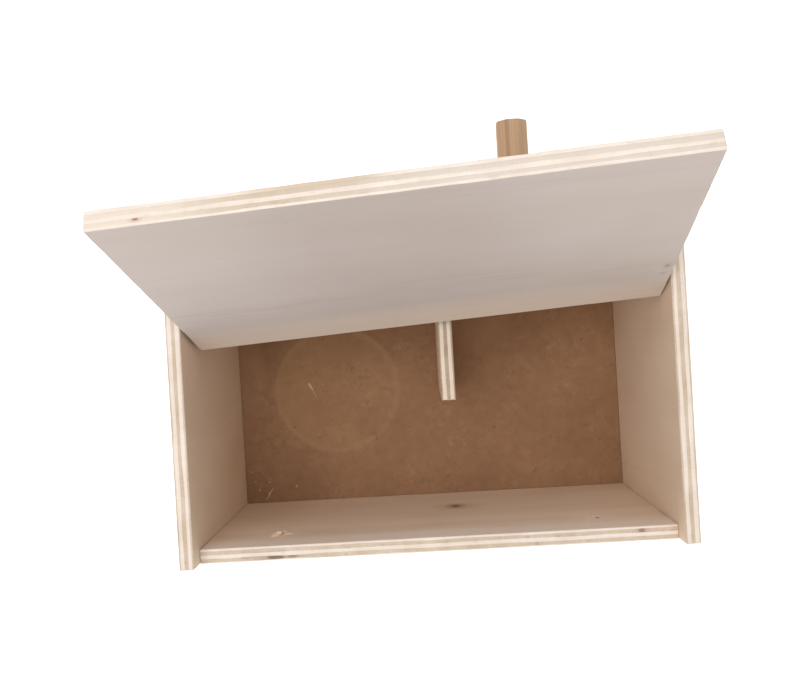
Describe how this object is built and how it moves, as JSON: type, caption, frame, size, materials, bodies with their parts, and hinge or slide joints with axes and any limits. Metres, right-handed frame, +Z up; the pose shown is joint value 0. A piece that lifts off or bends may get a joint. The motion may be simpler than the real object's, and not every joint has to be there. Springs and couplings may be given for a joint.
{
  "type": "nest box",
  "caption": "Horizontal plywood nest box with a lid that swings up on two nails, an inner partition, a hollowed floor, a round entrance and a perch.",
  "frame": {"origin": "centre of the underside, where the box stands", "axes": "+Z up, -Y out of the entrance hole, +X towards the right wall as seen from the front"},
  "size_m": [0.2652, 0.2405, 0.2766],
  "materials": {
    "wall_plywood": "raw light plywood with visible plies on the edges",
    "partition_plywood": "raw light plywood, sawn edges",
    "lid_plywood": "raw light plywood, greyish face, sawn edges",
    "floor_fibreboard": "raw brown fibreboard with a routed hollow",
    "perch_wood": "planed brown hardwood",
    "nail_steel": "bright steel nail",
    "screw_steel": "zinc plated screw",
    "hanger_steel": "zinc plated sheet"
  },
  "bodies": {
    "box": {"floor_board": "floor_fibreboard", "left_wall": "wall_plywood", "right_wall": "wall_plywood", "back_wall": "wall_plywood", "front_wall": "wall_plywood", "partition": "partition_plywood", "perch": "perch_wood", "perch_screw": "screw_steel", "left_pivot_nail": "nail_steel", "right_pivot_nail": "nail_steel", "left_front_nails": "nail_steel", "left_back_nails": "nail_steel", "left_floor_nails": "nail_steel", "right_front_nails": "nail_steel", "right_back_nails": "nail_steel", "right_floor_nails": "nail_steel", "front_floor_nails": "nail_steel", "back_floor_nails": "nail_steel", "partition_front_nails": "nail_steel", "partition_floor_nails": "nail_steel", "hanger_plates": "hanger_steel", "hanger_screws": "screw_steel"},
    "lid": {"lid": "lid_plywood"}
  },
  "joints": [
    {"name": "lid_hinge", "type": "hinge", "parent": "box", "child": "lid", "pos_m": [0, -0.0495, 0.1448], "axis": [0.999, 0.044, 0], "range_deg": [-109, 20]}
  ]
}
